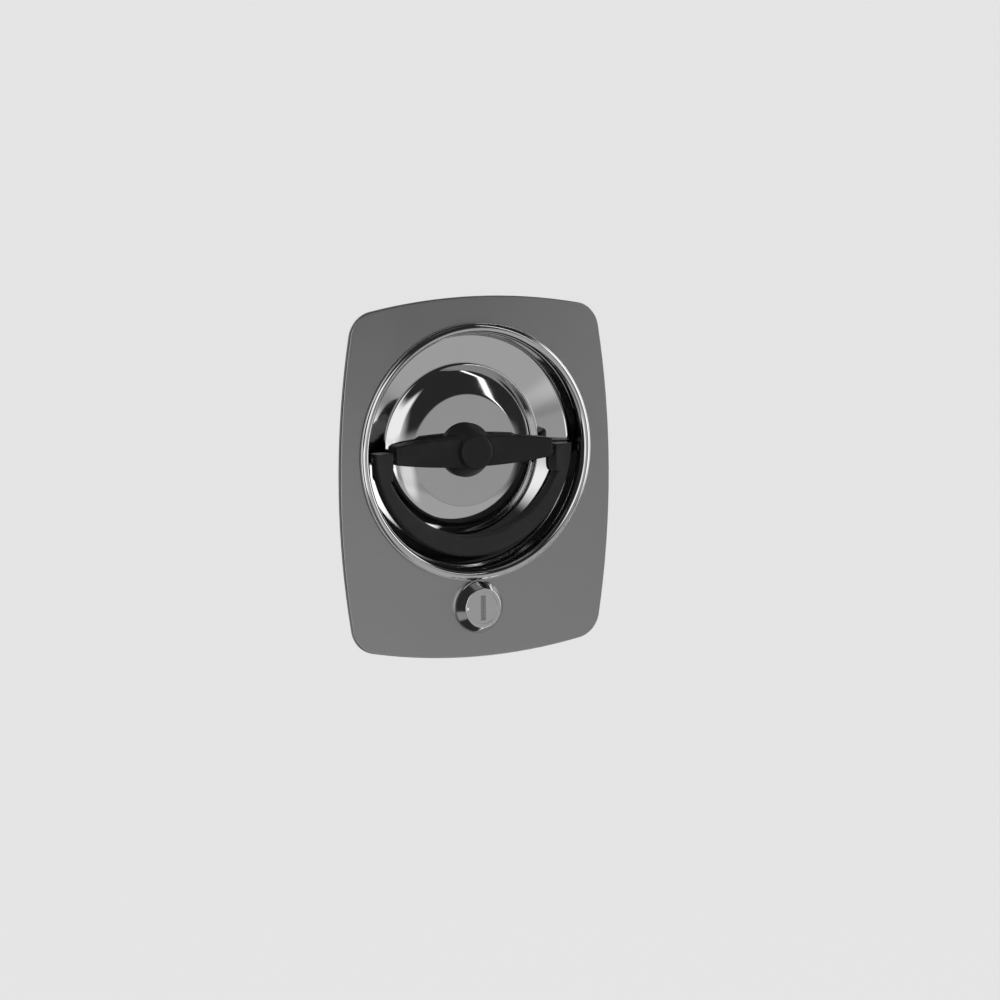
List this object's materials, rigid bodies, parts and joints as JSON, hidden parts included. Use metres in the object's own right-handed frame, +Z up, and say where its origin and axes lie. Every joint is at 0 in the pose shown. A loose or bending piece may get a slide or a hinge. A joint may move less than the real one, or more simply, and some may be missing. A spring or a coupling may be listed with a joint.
{
  "type": "flush ring handle latch",
  "caption": "Recessed latch: bowed steel plate with a round dish, cross bar and folding D shaped ring, key lock below, turning cam behind.",
  "frame": {"origin": "centre of the four mounting studs, on the panel face that the gasket lies against", "axes": "+Z up, +Y back into the panel along the studs, +X to the right of someone facing the handle"},
  "size_m": [0.1185, 0.041, 0.14],
  "materials": {
    "plate_steel": "satin plate with a polished dish",
    "black_casting": "satin black coat on a zinc casting",
    "lock_chrome": "bright plated",
    "zinc_steel": "bright zinc plated",
    "spring_steel": "bare spring steel",
    "bearing_bronze": "turned",
    "wafer_brass": "stamped",
    "black_rubber": "matt"
  },
  "bodies": {
    "plate_set": {"face_plate": "plate_steel", "panel_gasket": "black_rubber", "mounting_studs": "zinc_steel", "stop_pin": "zinc_steel", "hub_bushing": "bearing_bronze", "lock_barrel": "lock_chrome", "lock_washer": "zinc_steel", "lock_nut": "zinc_steel"},
    "handle_set": {"handle_bar": "black_casting", "hub_seal": "black_rubber", "spring_washer": "spring_steel", "pivot_pin_right": "zinc_steel", "pivot_pin_left": "zinc_steel", "ring_spring_right": "spring_steel", "ring_spring_left": "spring_steel", "spindle": "zinc_steel", "spindle_pin": "zinc_steel", "front_spacer": "zinc_steel", "rear_spacer": "zinc_steel", "stop_plate": "zinc_steel", "latch_cam": "zinc_steel", "cam_washer": "zinc_steel", "cam_nut": "zinc_steel"},
    "ring": {"d_ring": "black_casting"},
    "lock_core": {"lock_plug": "lock_chrome", "wafer_tumblers": "wafer_brass", "lock_cam": "zinc_steel", "lock_cam_screw": "zinc_steel"}
  },
  "joints": [
    {"name": "handle_turn", "type": "hinge", "parent": "plate_set", "child": "handle_set", "pos_m": [0, 0, 0.0098], "axis": [0, -1, 0], "range_deg": [0, 90]},
    {"name": "ring_fold", "type": "hinge", "parent": "handle_set", "child": "ring", "pos_m": [0, 0.0022, 0.0083], "axis": [-1, 0, 0], "range_deg": [0, 90], "stiffness_Nm_per_rad": 0.02, "springref_deg": -57.3, "deforming": ["ring_spring_right", "ring_spring_left"]},
    {"name": "lock_turn", "type": "hinge", "parent": "plate_set", "child": "lock_core", "pos_m": [0, 0, -0.05039], "axis": [0, -1, 0], "range_deg": [0, 90]}
  ]
}
